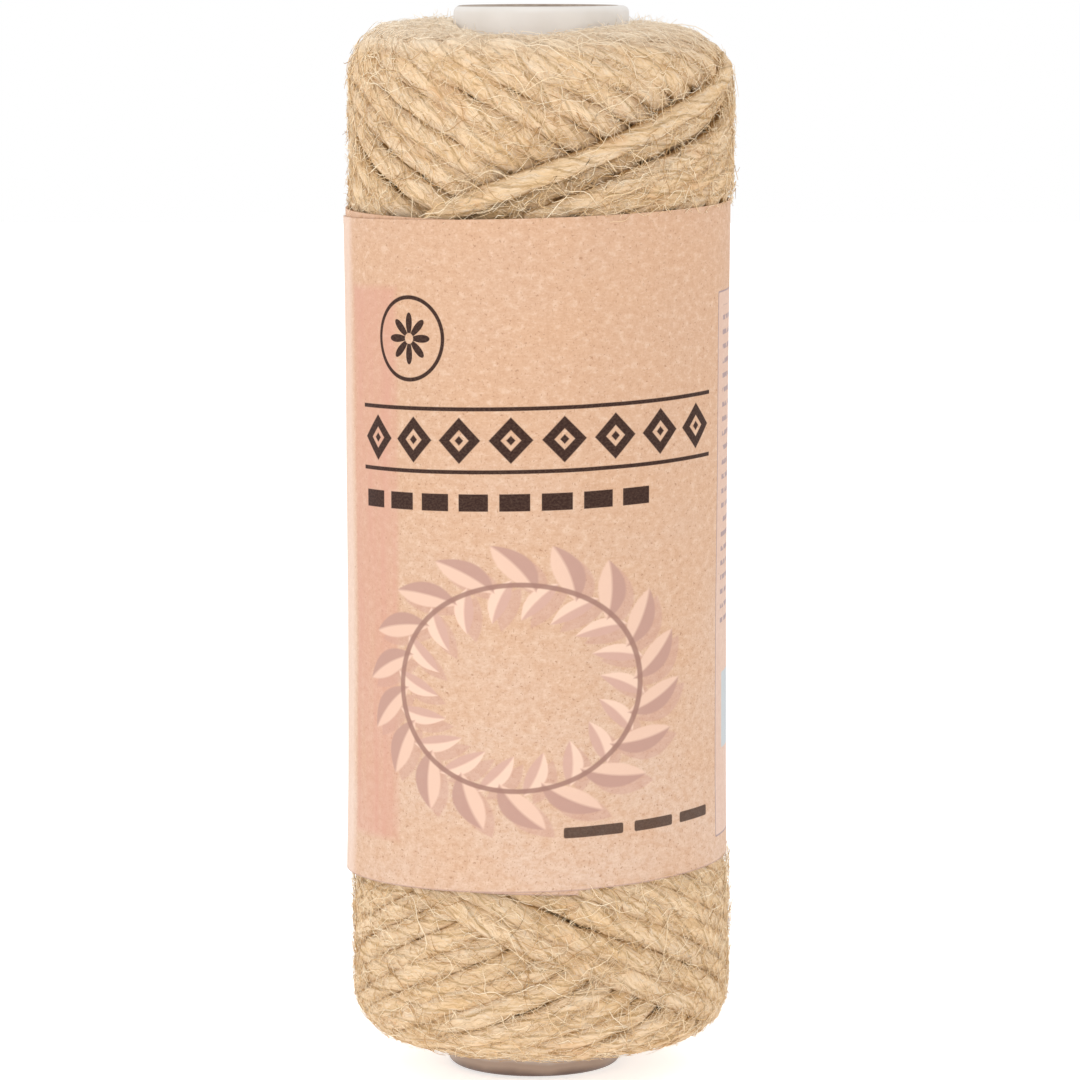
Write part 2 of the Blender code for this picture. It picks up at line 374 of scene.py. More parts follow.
LAST_TURN = {"head": math.radians(127.3), "foot": math.radians(115.5)}
SLOPE_BEFORE = {"head": 0.375, "foot": 0.42}
SLOPE_AFTER = {"head": 0.52, "foot": 0.43}
SOFT_BEFORE = {"head": 0.004, "foot": 0.005}
SOFT_AFTER = {"head": 0.006, "foot": 0.006}
REACH = 0.078                   # length round the roll from the turn to well under the band
DROP_SHOWN = 0.031              # how far below its turn a cord is made
STEP = 0.000495                 # ring to ring along a cord
LAYERS = {"top": (20, 1), "under": (12, 3)}     # points round a cord, and one ring in how many
FEWEST_STEPS = 6                # shorter lengths of cord are left out


def slow(t, seed, longest, waves=4):
    """A smooth random curve over t, about -1 to 1: sines of falling length and random phase."""
    rng = np.random.default_rng(seed)
    total = 0.0
    for wave in range(waves):
        total = total + np.sin(2 * np.pi * (t * 1.7 ** wave / longest + rng.random())) / 1.3 ** wave
    return total / 2.0


def eased(value, low, high):
    """Rises smoothly from 0 at low to 1 at high."""
    share = np.clip((value - low) / (high - low), 0.0, 1.0)
    return share * share * (3.0 - 2.0 * share)


def beside(angle, middle, width):
    """A bell round the roll: 1 at the middle angle, falling away over the width on either side."""
    return np.exp(-(np.arctan2(np.sin(angle - middle), np.cos(angle - middle)) / width) ** 2)


def skin_frame(angle, along, end, depth):
    """Points at a depth under the wound form's skin, and the directions away from the roll there.

    along is the length over the skin from where the shoulder starts: negative on the
    straight side, positive round the shoulder and in over the end face.
    """
    shoulder = SHOULDER[end]
    if end == "head":
        worn = np.exp(-((along - 0.0055) / 0.0040) ** 2)
        depth = depth + CORNER_DEPTH * beside(angle, CORNER_ANGLE, 0.65) * worn
    turned = np.clip(along / shoulder, 0.0, QUARTER)
    out, up = np.cos(turned), np.sin(turned)
    inwards = np.maximum(along - FACE_START[end], 0.0)
    clear = eased(along, -0.026, -0.012)
    side = WOUND_RADIUS + (END_RADIUS[end] - WOUND_RADIUS) * clear
    radius = side - shoulder + shoulder * out - inwards - depth * out
    low = shoulder - shoulder * up + np.maximum(-along, 0.0) + depth * up + END_RISE[end] * inwards
    if end == "head":
        low = low + DIP_DEPTH * beside(angle, DIP_ANGLE, 0.75) * eased(along, 0.0070, 0.0125)
        low = low - HEAP_HEIGHT * beside(angle, HEAP_ANGLE, 0.80) * eased(along, 0.0030, 0.0110)
    height = END_HEIGHT[end] - FACING[end] * low
    across = radius * np.sin(angle) + END_SHIFT * clear
    points = np.stack([across, -radius * np.cos(angle), height], axis=-1)
    away = np.stack([out * np.sin(angle), -out * np.cos(angle), FACING[end] * up], axis=-1)
    return points, away


def band_edge(angle, end):
    """Height of the paper band's edge nearer an end, at an angle round the roll from the front."""
    wound = np.mod(BAND_START - angle, 2 * np.pi)
    wound = np.where(wound < math.radians(120), wound + 2 * np.pi, wound)
    return np.interp(wound, *BAND_LOWER_EDGE) + (BAND_HEIGHT if end == "head" else 0.0)


def leg_drop(x, slope, soft):
    """How far a stretch has come away from its turn: a hyperbola over the length round the roll."""
    return np.hypot(x * slope, soft) - soft


def crossings(end):
    """For lengths round the roll, where stretches that far apart cross, measured from their turns.

    Returns a table: the width between a turn's two legs, and the distances before and after
    the turn at which the legs are that far apart.
    """
    drop = np.linspace(0.0, 0.080, 400)
    before = np.sqrt((drop + SOFT_BEFORE[end]) ** 2 - SOFT_BEFORE[end] ** 2) / SLOPE_BEFORE[end]
    after = np.sqrt((drop + SOFT_AFTER[end]) ** 2 - SOFT_AFTER[end] ** 2) / SLOPE_AFTER[end]
    return before + after, before, after


def stretch(end, number):
    """One stretch of cord up to its turn and back, ring by ring.

    number counts back from the newest stretch. Returns the length from the turn, the angle
    round the roll, the place along the skin, the depth of the cord's middle, its width, how
    far it is in the top layer (1) or under it (0), and the stretch's seed.
    """
    newest = number == 0
    seed = 1000 * (1 if end == "head" else 2) + number
    rng = np.random.default_rng(seed)
    x = np.arange(-REACH, REACH, STEP)
    turn = LAST_TURN[end] + number * STRAND_ANGLE
    drop = np.where(x < 0, leg_drop(x, SLOPE_BEFORE[end], SOFT_BEFORE[end]),
                    leg_drop(x, SLOPE_AFTER[end], SOFT_AFTER[end]))
    if end == "head":
        moved = 0.0010 * np.interp(number, [2, 6, 12, 16, 20], [0.0, 1.0, 1.0, 0.0, 0.0])
        sagging = np.interp(number, [1, 2, 3, 5], [0.0, 0.0015, 0.0009, 0.0])
        moved = moved - sagging * eased(x, -0.070, -0.044) * (1.0 - eased(x, -0.030, -0.010))
    else:
        moved = -0.0012 * np.interp(number, [0, 1, 2, 8, 14], [0.0, 0.25, 1.0, 0.6, 0.0])
    moved = moved + (0.0 if newest else 0.0009 * (rng.random() - 0.5))
    wander = 0.00022 * slow(x, seed, 0.050) * (0.3 if newest else 1.0)
    shared = 0.00030 * slow(turn + x / WOUND_RADIUS, 5 if end == "head" else 6, 2 * np.pi, 3)
    angle = turn + (x + (0.0 if newest else 0.0010 * (rng.random() - 0.5))) / WOUND_RADIUS
    along = TURN_ALONG[end] - drop + moved * eased(drop, 0.001, 0.008) + wander + shared

    # it goes under the newer stretches it meets, and comes out again about its turn
    span, before_turn, after_turn = crossings(end)
    meets_fall = np.interp(number * PITCH, span, before_turn)
    meets_rise = np.interp(WOUND_LENGTH_ROUND - number * PITCH, span, after_turn)
    rise_level = 1.0 - eased(x, -meets_fall - 0.0068, -meets_fall - 0.0008)
    fall_level = 1.0 - eased(x, meets_rise - 0.0058, meets_rise + 0.0012)
    emerges = eased(x, -0.0045, 0.0040)
    if newest:
        level = np.where(x < 0, 1.0, fall_level)
    else:
        level = np.where(x < 0, np.maximum(rise_level, emerges), np.minimum(emerges, fall_level))
    depth = TOP_DEPTH + (UNDER_DEPTH - TOP_DEPTH) * (1.0 - level)
    depth = depth - 0.00016 * slow(x, seed + 300, 0.022)
    depth = depth + 0.00010 * slow(np.array(float(number)), 31, 2.7, 2)
    if end == "head" and newest:
        depth = depth - 0.00042
    if end == "head" and number == 1:
        depth = depth + 0.00200 * (1.0 - 0.85 * eased(x, -0.0575, -0.0485))

    # the band presses it in near its edge
    points = skin_frame(angle, along, end, 0.0)[0]
    beyond = FACING[end] * (points[:, 2] - band_edge(angle, end))
    pressed = 1.0 - eased(beyond, 0.0006, 0.0036)
    depth = depth + pressed * np.maximum(TOP_DEPTH + 0.00062 - depth, 0.0)
    spacing = PITCH * np.sin(np.arctan(np.abs(np.gradient(drop, x))))
    width = np.clip(1.20 * spacing, 0.0029, 0.0038) * (1.0 + 0.07 * slow(x, seed + 500, 0.040, 3))
    if newest:
        width = np.maximum(width, 0.0031)
    if end == "foot" and number < 4:
        width = np.maximum(width * 1.08, 0.0039 if number < 2 else 0.0034)
    return x, angle, along, depth, width, level, seed


def runs_of(flags):
    """Start and end of each unbroken run of true values."""
    edges = np.flatnonzero(np.diff(np.concatenate([[False], flags, [False]]).astype(int)))
    return list(zip(edges[::2], edges[1::2]))


def ply_section(angle):
    """How far the skin of four plies lying together reaches from the cord's middle, at an angle.

    Each ply is a circle of radius 0.70 about a point 0.32 out, for a cord of half width 1.
    """
    quarter = 2 * np.pi / PLIES
    nearest = (angle + quarter / 2) % quarter - quarter / 2
    return 0.32 * np.cos(nearest) + np.sqrt(0.70 ** 2 - (0.32 * np.sin(nearest)) ** 2)


def section_angles(count):
    """Angles round a cord's section, from under it round; more of them on its upper side."""
    spread = np.linspace(-1.0, 1.0, count, endpoint=False)
    return np.pi * (0.62 * spread + 0.38 * spread ** 3)


def sweep_cord(middle, up, width, thickness, twist, seed, count):
    """Points of a four-ply cord along a path, ring by ring: (rings, count, 3).

    middle is the path, up the direction away from the roll. The plies turn right-handed
    as the path goes on, by the angles in twist.
    """
    ahead = np.gradient(middle, axis=0)
    ahead /= np.linalg.norm(ahead, axis=1, keepdims=True)
    up = up - np.sum(up * ahead, axis=1, keepdims=True) * ahead
    up /= np.linalg.norm(up, axis=1, keepdims=True)
    side = np.cross(ahead, up)
    round_angle = section_angles(count)[None, :]
    rng = np.random.default_rng(seed)
    turned = round_angle + twist[:, None]
    uneven = 1.0 + 0.035 * np.sin(turned + rng.random() * 6) + 0.02 * np.sin(3 * turned + rng.random() * 6)
    reach = ply_section(turned) * uneven
    sideways = (reach * np.sin(round_angle) * width[:, None] / 2)[..., None]
    upwards = (reach * np.cos(round_angle) * thickness[:, None] / 2)[..., None]
    return middle[:, None, :] + sideways * side[:, None, :] + upwards * up[:, None, :]


class Bundle:
    """Collects lengths of cord and makes one piece of them.

    Its UV layer "yarn" is millimetres along and round the cord; "plies" is how many plies
    round a point lies, and a number that is the length's own.
    """

    def __init__(self):
        self.points, self.quads, self.caps, self.count = [], [], [], 0
        self.yarn, self.cap_yarn, self.plies, self.cap_plies = [], [], [], []

    def lay(self, end, angle, along, depth, width, thickness, twist, seed, sides, start_mm, own):
        """Adds a length of cord along a path over the skin."""
        middle, away = skin_frame(angle, along, end, depth)
        length = np.concatenate([[0.0], np.cumsum(np.linalg.norm(np.diff(middle, axis=0), axis=1))])
        along_mm = length * 1000 + start_mm
        points = sweep_cord(middle, away, width, thickness, twist, seed, sides)
        rings = len(points)
        tips = np.stack([points[0].mean(axis=0), points[-1].mean(axis=0)])
        self.points += [points.reshape(-1, 3), tips]
        self.quads.append(grid_faces(rings, sides, True) + self.count)

        ring, slot = np.divmod(np.arange((rings - 1) * sides), sides)
        ring = ring[:, None] + np.array([0, 0, 1, 1])
        slot = slot[:, None] + np.array([0, 1, 1, 0])
        spread = np.append(section_angles(sides), np.pi)
        round_mm = (spread + np.pi) / (2 * np.pi) * PERIMETER_MM
        ply = (twist[ring] + spread[slot]) * PLIES / (2 * np.pi)
        self.yarn.append(np.stack([along_mm[ring], round_mm[slot]], axis=-1).reshape(-1, 2))
        self.plies.append(np.stack([ply, np.full_like(ply, own)], axis=-1).reshape(-1, 2))

        here = self.count + np.arange(sides)
        after = self.count + (np.arange(sides) + 1) % sides
        last = (rings - 1) * sides
        tip = np.full(sides, self.count + rings * sides)
        self.caps += [np.stack([after, here, tip], axis=-1),
                      np.stack([here + last, after + last, tip + 1], axis=-1)]
        self.cap_yarn.append(np.full((6 * sides, 2), along_mm[0]))
        self.cap_plies.append(np.full((6 * sides, 2), own))
        self.count += rings * sides + 2

    def piece(self, name, material):
        faces = [np.concatenate(self.quads), np.concatenate(self.caps)]
        layers = [("yarn", np.concatenate(self.yarn + self.cap_yarn)),
                  ("plies", np.concatenate(self.plies + self.cap_plies))]
        item = new_piece(name, np.concatenate(self.points), faces, material, layers)
        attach(item, "root")
        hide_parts("winding")


def cord_material():
    """Jute yarn: broken streaks along the plies' fibres, mottled gold and straw, painted shade in the
    grooves.
    """
    jute = Nodes("jute")
    yarn = jute.uv("yarn")
    along, round_mm = jute.split(yarn)[:2]
    ply, own = jute.split(jute.uv("plies"))[:2]
    place = jute.place()
    across, back, up = jute.split(place)

    lumps = jute.flat_noise(yarn, 0.55, 0.75, 3.0, 0.55)
    bent = jute.add("ShaderNodeCombineXYZ")
    jute.put(along, bent.inputs[0])
    jute.put(jute.math("MULTIPLY_ADD", lumps, 1.5, round_mm), bent.inputs[1])
    lean = math.atan(PERIMETER_MM / (CORD_LAY * 1000)) * 0.8
    fibres = jute.scaled(bent.outputs[0], (1.0, 1.0, 1.0), -lean)
    fine = jute.flat_noise(fibres, 0.55, 5.0, 3.0, 0.60)
    streaks = jute.flat_noise(fibres, 0.24, 2.2, 3.0, 0.62, 0.0, (31.0, 7.0))
    mottle = jute.flat_noise(yarn, 0.07, 0.24, 3.0, 0.6, 0.0, (5.0, 3.0))
    specks = jute.flat_noise(fibres, 1.1, 5.5, 2.0, 0.5, 0.0, (11.0, 57.0))
    rust = jute.noise(place, 115.0, 3.0, 0.6)
    tone = jute.math("FRACT", jute.times(own, 7.31))
    base = jute.mix(tone, (0.690, 0.480, 0.273), (0.762, 0.545, 0.334))
    base = jute.tinted(base, (mottle, 0.40, 0.66, 0.80, (0.750, 0.580, 0.406)),
                       (mottle, 0.42, 0.30, 0.60, (0.625, 0.403, 0.202)),
                       (streaks, 0.52, 0.68, 0.60, (0.460, 0.275, 0.115)),
                       (streaks, 0.46, 0.33, 0.75, (0.690, 0.552, 0.405)),
                       (fine, 0.54, 0.70, 0.65, (0.340, 0.190, 0.055)),
                       (fine, 0.42, 0.28, 0.70, (0.725, 0.608, 0.480)),
                       (specks, 0.68, 0.76, 0.70, (0.560, 0.220, 0.085)),
                       (rust, 0.60, 0.72, 0.45, (0.640, 0.355, 0.170)))

    # painted shade: brown between the plies and between neighbouring cords
    ragged = jute.times(jute.minus(fine, 0.5), 0.9)
    phase = jute.math("FRACT", jute.plus(ply, 400.0))
    from_seam = jute.absolute(jute.minus(phase, 0.5))
    seam = jute.ramp(jute.plus(from_seam, jute.times(ragged, 0.35)), 0.39, 0.50)
    base = jute.mix(jute.times(seam, 0.50), base, (0.330, 0.180, 0.050))
    from_top = jute.absolute(jute.minus(round_mm, PERIMETER_MM / 2))
    groove_shade = jute.ramp(jute.plus(from_top, ragged), 1.35, 2.10)
    base = jute.mix(jute.times(groove_shade, 0.80), base, (0.310, 0.155, 0.034))

    # painted shade: browner below the top layer; painted highlight: paler over the head's end face
    deep_shade = jute.times(jute.ramp(jute.hypot(across, back), 0.0259, 0.0243), jute.ramp(up, 0.1420, 0.1380))
    deep_shade = jute.times(deep_shade, jute.ramp(up, 0.0110, 0.0150))
    base = jute.mix(jute.times(deep_shade, 0.60), base, (0.400, 0.225, 0.080))
    # painted highlight over the head's end face
    base = jute.tinted(base, (up, 0.1450, 0.1490, 0.70, (0.97, 0.85, 0.68)))
    height = jute.plus(jute.math("MULTIPLY_ADD", lumps, -0.7, jute.times(fine, -1.0)),
                       jute.times(streaks, -1.3))
    height = jute.math("MULTIPLY_ADD", seam, -0.35, height)
    jute.finish({"Base Color": base, "Roughness": 0.72, "Specular IOR Level": 0.15,
                 "Normal": jute.bump(height, 0.00026, 0.85)})
    return jute.material


jute_cord = cord_material()
for end in ("head", "foot"):
    for newest_number, half in enumerate(("newer", "older")):
        bundle = Bundle()
        for number in range(newest_number, STRANDS_ROUND, 2):
            x, angle, along, depth, width, level, seed = stretch(end, number)
            kept = along > TURN_ALONG[end] - DROP_SHOWN
            thickness = CORD_THICKNESS * (1.0 + 0.06 * slow(x, seed + 900, 0.03))
            own = np.random.default_rng(seed + 9000).random() * 40.0
            twist = -2 * np.pi * (x + 0.003 * slow(x, seed + 70, 0.05)) / CORD_LAY + own
            for layer, shown in (("top", level > 0.04), ("under", level < 0.10)):
                sides, every = LAYERS[layer]
                for start, stop in runs_of(kept & shown):
                    if stop - start < FEWEST_STEPS:
                        continue
                    part = slice(start, stop, every)
                    bundle.lay(end, angle[part], along[part], depth[part], width[part], thickness[part],
                               twist[part], seed, sides, own * 31.0, own)
        bundle.piece(end + "_cords_" + half, jute_cord)


# --- Ends and core of the winding ---------------------------------------------------------
# Over each end face the cord's earlier turns lie like a braid round the tube. Below
# the outer cords a plain dark bed fills the winding down to the tube.
FACE_RINGS = (0.0216, 0.0178, 0.0144)       # radii of the rings of cords over an end face
FACE_HALF = 0.0095              # half the length of one of their cords
FACE_STEP = 0.0008
FACE_WIDTH = 0.0031
FACE_POINTS = 14
BED_DEPTH = 0.0031
BED_INNER = 0.0126              # radius in to which the bed's ends reach
BED_POINTS_ROUND = 96

for end in ("head", "foot"):
    bundle = Bundle()
    for ring_number, ring_radius in enumerate(FACE_RINGS):
        count = int(STRANDS_ROUND * ring_radius / WOUND_RADIUS)
        face_along = FACE_START[end] + (WOUND_RADIUS - SHOULDER[end] - ring_radius)
        x = np.arange(-FACE_HALF, FACE_HALF, FACE_STEP)
        for number in range(count):
            seed = 5000 * (1 if end == "head" else 2) + 100 * ring_number + number
            rng = np.random.default_rng(seed)
            angle = 2 * np.pi * (number + 0.35 * rng.random()) / count + x / ring_radius
            along = face_along - 0.0014 * np.tanh(x / 0.005) + 0.0004 * slow(x, seed, 0.02)
            along = along + 0.0006 * (rng.random() - 0.5)
            depth = 0.0014 + 0.0016 * eased(np.abs(x + 0.0006), 0.0040, 0.0092) + 0.0003 * rng.random()
            width = FACE_WIDTH * (1.0 + 0.05 * slow(x, seed + 1, 0.03))
            twist = -2 * np.pi * x / CORD_LAY + number
            bundle.lay(end, angle, along, depth, width, np.full(len(x), CORD_THICKNESS), twist, seed,
                       FACE_POINTS, seed * 1.7, 40.0 * rng.random())
    bundle.piece(end + "_end_cords", jute_cord)

bed_profile = []
for end in ("head", "foot"):
    face_width = WOUND_RADIUS - SHOULDER[end] - BED_INNER
    bed_along = np.concatenate([np.linspace(-0.030, 0.0, 20), np.linspace(0.0, FACE_START[end], 12)[1:],
                                FACE_START[end] + np.linspace(0.0, face_width, 8)[1:]])
    points = skin_frame(0.0, bed_along, end, BED_DEPTH)[0]
    profile = np.stack([-points[:, 1], points[:, 2]], axis=-1)
    bed_profile.append(profile if end == "foot" else profile[::-1])
bed_profile = np.concatenate(bed_profile)
bed_points = revolved(bed_profile, BED_POINTS_ROUND)
bed_faces = closed_ring_faces(bed_points, len(bed_profile), BED_POINTS_ROUND)
bed_jute = Nodes("jute_shade")
bed_speck = bed_jute.noise(bed_jute.place(), 1500.0)
bed_jute.finish({"Base Color": bed_jute.mix(bed_speck, (0.34, 0.185, 0.060), (0.50, 0.29, 0.11)),
                 "Roughness": 0.9})
bed = new_piece("winding_bed", bed_points, [bed_faces], bed_jute.material)
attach(bed, "root")
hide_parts("winding")


# --- Loose hairs --------------------------------------------------------------------------
# Pale jute fibres that have come loose: short ones that blur the cord's surface, and
# long ones that lie over it in all directions or stand off it a little.
TUBE_CLEARANCE = 0.0006         # how far hairs keep away from the tube
BAND_OVERLAP = 0.0010           # how far they may reach in under the band's edge
FURTHEST_OUT = -0.0190          # they start between this place along the skin
FACE_COVERED = 0.0070           # and this far in over the end face


def hair_curves(rings, start, heading, length, bend, lift, sunk, wave_start, end):
    """Centre lines of hairs on the skin: (hairs, rings, 3), and which stay off the band and the tube.

    Each runs from a start (angle, along) at a heading over the skin, bends sideways by the
    angle bend over its length, and rises off the skin by lift at its tip.
    """
    share = np.linspace(0.0, 1.0, rings)[None, :]
    curl = 0.36 * np.sin(2 * np.pi * (share * (0.6 + length[:, None] / 0.010) + wave_start[:, None] * 5))
    turned = heading[:, None] + bend[:, None] * (share - 0.5) + curl
    step = length[:, None] / (rings - 1)
    angle = start[0][:, None] + np.cumsum(np.cos(turned) * step, axis=1) / WOUND_RADIUS
    along = start[1][:, None] + np.cumsum(np.sin(turned) * step, axis=1)
    wave = 0.00008 * np.sin(2 * np.pi * (share * 1.4 + wave_start[:, None]))
    depth = sunk[:, None] - lift[:, None] * share ** 2 + wave
    points = skin_frame(angle, along, end, depth)[0]
    beyond = FACING[end] * (points[..., 2] - band_edge(angle, end))
    from_axis = np.hypot(points[..., 0], points[..., 1])
    free = (beyond.min(axis=1) > -BAND_OVERLAP) & (from_axis.min(axis=1) > TUBE_RADIUS + TUBE_CLEARANCE)
    return points, free


def hair_piece(name, curves, radius, material):
    """Thin three-sided fibres along curves (hairs, rings, 3), tapering to both tips."""
    count, rings = curves.shape[:2]
    ahead = np.gradient(curves, axis=1)
    ahead /= np.linalg.norm(ahead, axis=2, keepdims=True) + 1e-12
    helper = np.where(np.abs(ahead[..., 2:3]) < 0.8, np.array([0.0, 0.0, 1.0]), np.array([1.0, 0.0, 0.0]))
    side = np.cross(ahead, helper)
    side /= np.linalg.norm(side, axis=2, keepdims=True)
    other = np.cross(ahead, side)
    taper = 0.35 + 0.65 * np.sin(np.pi * np.linspace(0.04, 0.96, rings)) ** 0.5
    reach = taper[None, :, None] * radius[:, None, None]
    corners = [curves + reach * (math.cos(turn) * side + math.sin(turn) * other)
               for turn in (0.0, 2.094395, 4.18879)]
    points = np.stack(corners, axis=2).reshape(-1, 3)
    first = np.arange(count) * rings * 3
    last = first + (rings - 1) * 3
    quads = (grid_faces(rings, 3, True)[None] + first[:, None, None]).reshape(-1, 4)
    caps = np.concatenate([np.stack([first + 1, first, first + 2], axis=-1),
                           np.stack([last, last + 1, last + 2], axis=-1)])
    tint = np.repeat(np.random.default_rng(77).random(count), rings * 3)
    tint = tint[np.concatenate([quads.ravel(), caps.ravel()])]
    layers = [("tint", np.stack([tint, np.zeros_like(tint)], axis=-1))]
    item = new_piece(name, points, [quads, caps], material, layers)
    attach(item, "root")
    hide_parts("winding")


hair_jute = Nodes("jute_hair")
hair_tint = hair_jute.split(hair_jute.uv("tint"))[0]
hair_up = hair_jute.split(hair_jute.place())[2]
# the hairs' own tones, with a painted highlight on those over the head's end face
hair_colour = hair_jute.tinted((0.42, 0.22, 0.08), (hair_tint, 0.0, 0.30, 1.0, (0.78, 0.55, 0.30)),
                               (hair_tint, 0.30, 0.9, 1.0, (0.97, 0.83, 0.62)),
                               (hair_up, 0.1450, 0.1490, 0.75, (1.0, 0.90, 0.76)))
hair_jute.finish({"Base Color": hair_colour, "Roughness": 0.75, "Specular IOR Level": 0.10})

# rows: name, hairs made, hairs kept, rings, least and most extra length, share lifted, lift,
# thickness, seed
for name, made, kept_count, rings, least, extra, risen, high, thin, first_seed in (
        ("short_hairs", 10500, 8800, 3, 0.0010, 0.0022, 0.30, 0.0007, 0.000030, 40),
        ("long_hairs", 3300, 2700, 8, 0.0035, 0.0100, 0.20, 0.0010, 0.000034, 60)):
    for end_number, end in enumerate(("head", "foot")):
        rng = np.random.default_rng(first_seed + end_number)
        reach_in = FACE_START[end] + FACE_COVERED
        start = (rng.random(made) * 2 * np.pi, FURTHEST_OUT + (reach_in - FURTHEST_OUT) * rng.random(made))
        heading = rng.normal(0.0, 0.80, made) + np.where(rng.random(made) < 0.5, 0.0, np.pi)
        length = least + extra * rng.random(made) ** 2.2
        bend = rng.normal(0.0, 0.9, made)
        lift = np.where(rng.random(made) < risen, high, 0.00025) * (0.15 + rng.random(made) ** 1.6)
        lift = lift * np.where(start[1] > SHOULDER[end] * 1.2, 0.30, 1.0)
        by_tube = (start[1] > FACE_START[end] + 0.0050) & (rng.random(made) < 0.22)
        lift = np.where(by_tube, 0.0004 + 0.0011 * rng.random(made), lift)
        sunk = rng.normal(0.00012, 0.00018, made)
        radius = thin * (1.0 + rng.random(made) ** 2)
        curves, free = hair_curves(rings, start, heading, length, bend, lift, sunk, rng.random(made), end)
        clear = np.flatnonzero(free)[:kept_count]
        hair_piece(end + "_" + name, curves[clear], radius[clear], hair_jute.material)


# --- Label ------------------------------------------------------------------------------------
# A strip of thin kraft paper wound once and a third round the cord, a little askew, so
# that its inner end and edges show beyond the outer layer. Its print is plain marks:
# a rosette, lozenges, dashes, a ring of leaves, and a pale panel on the side.
LABEL_THICK = 0.00026
LABEL_WOUND = math.radians(480)     # how far round it goes
LABEL_COLUMNS = 360
LABEL_ROWS = 16
PRINT_RADIUS = 27.3             # millimetres; turns angles into widths of the print
PRINT_MIDDLE = math.radians(372)    # angle from the inner end at which the print's middle lies
SHARP_FROM = math.radians(40)
WREATH_RADIUS = 14.4
WREATH_LEAVES = 18
LOZENGES_AT = 63.0              # height of the row of lozenges
INK = (0.032, 0.013, 0.009)


def label_surface(wound, share, inner):
    """Points of the strip's outer or inner face.

    wound is the angle from the strip's inner end, share the height in it from 0 to 1.
    """
    smoothing = np.hanning(9) / np.hanning(9).sum()
    lower = np.convolve(np.pad(np.interp(wound, *BAND_LOWER_EDGE), 4, mode="edge"), smoothing, mode="valid")
    waist = np.interp(share, [0.0, 0.12, 0.40, 0.80, 1.0], [0.02745, 0.02728, 0.02720, 0.02735, 0.02758])
    over = eased(wound, math.radians(351), math.radians(361))
    radius = waist[:, None] - LABEL_THICK * 1.15 * (1.0 - over)[None, :]
    angle = BAND_START - np.tile(wound, (len(share), 1))
    height = lower[None, :] + BAND_HEIGHT * share[:, None]
    ripple = 0.00005 * np.sin(3 * angle + 40 * height) + 0.00004 * np.sin(7 * angle - 90 * height + 1.0)
    radius = radius + ripple - (LABEL_THICK if inner else 0.0)
    return np.stack([radius * np.sin(angle), -radius * np.cos(angle), height], axis=-1)


wound = np.linspace(0.0, LABEL_WOUND, LABEL_COLUMNS)
share = np.linspace(0.0, 1.0, LABEL_ROWS)
section = np.concatenate([label_surface(wound, share, False), label_surface(wound, share, True)[::-1]])
rings = len(section)
label_points = section.transpose(1, 0, 2).reshape(-1, 3)
row = np.arange(LABEL_ROWS - 1)
first_cap = np.stack([row, row + 1, rings - 2 - row, rings - 1 - row], axis=-1)
last_cap = first_cap[:, ::-1] + (LABEL_COLUMNS - 1) * rings
label_faces = np.concatenate([grid_faces(LABEL_COLUMNS, rings, True), first_cap, last_cap])
height_mm = np.concatenate([share, share[::-1]]) * BAND_HEIGHT * 1000
label_uv = np.stack([np.repeat((PRINT_MIDDLE - wound) * PRINT_RADIUS, rings),
                     np.tile(height_mm, LABEL_COLUMNS)], axis=-1)

kraft = Nodes("kraft_paper")
print_uv = kraft.uv("print")
u_mm, v_mm = kraft.split(print_uv)[:2]


def distance_from(value, middle):
    """How far a coordinate is from a middle."""
    return kraft.absolute(kraft.minus(value, middle))


def printed(distance, soft=0.05):
    """1 where a distance to a mark's outline is negative, with a thin soft edge."""
    return kraft.ramp(distance, soft, -soft)


def bar(u0, u1, v0, v1):
    """A plain bar with slightly rounded ends, as a distance to its outline."""
    du = kraft.minus(distance_from(u_mm, (u0 + u1) / 2), (u1 - u0) / 2)
    dv = kraft.minus(distance_from(v_mm, (v0 + v1) / 2), (v1 - v0) / 2)
    return kraft.math("SMOOTH_MAX", du, dv, 0.5)


def from_cell(value, start, pitch):
    """How far a coordinate lies from the middle of its own cell in a row of cells."""
    cell = kraft.math("FRACT", kraft.math("DIVIDE", kraft.minus(value, start), pitch))
    return kraft.absolute(kraft.times(kraft.minus(cell, 0.5), pitch))


def within(mask, *distances):
    """A mask kept only where every distance is negative."""
    for distance in distances:
        mask = kraft.times(mask, printed(distance))
    return mask


def together(*masks):
    """The union of masks."""
    total = masks[0]
    for mask in masks[1:]:
        total = kraft.math("MAXIMUM", total, mask)
    return total


def polar(u0, v0, squash):
    """Distance and angle from a point of the print; squash narrows the sideways distance."""
    du = kraft.times(kraft.minus(u_mm, u0), squash)
    dv = kraft.minus(v_mm, v0)
    return kraft.hypot(du, dv), kraft.math("ARCTAN2", dv, du)


def leaves(reach, turned, off, lean, phase, length, wide):
    """A ring of pointed leaves: their mask, and how far across its leaf each place lies."""
    turns = kraft.math("MULTIPLY_ADD", turned, WREATH_LEAVES / (2 * math.pi), phase + WREATH_LEAVES)
    cell = kraft.minus(kraft.math("FRACT", turns), 0.5)
    along = kraft.times(cell, 2 * math.pi * WREATH_RADIUS / WREATH_LEAVES)
    out = kraft.minus(reach, WREATH_RADIUS + off)
    p = kraft.math("MULTIPLY_ADD", along, math.cos(lean), kraft.times(out, math.sin(lean)))
    q = kraft.math("MULTIPLY_ADD", along, -math.sin(lean), kraft.times(out, math.cos(lean)))
    taper = kraft.math("MULTIPLY_ADD", kraft.times(p, p), -wide / length ** 2, wide)
    return printed(kraft.minus(kraft.absolute(q), taper), 0.12), q


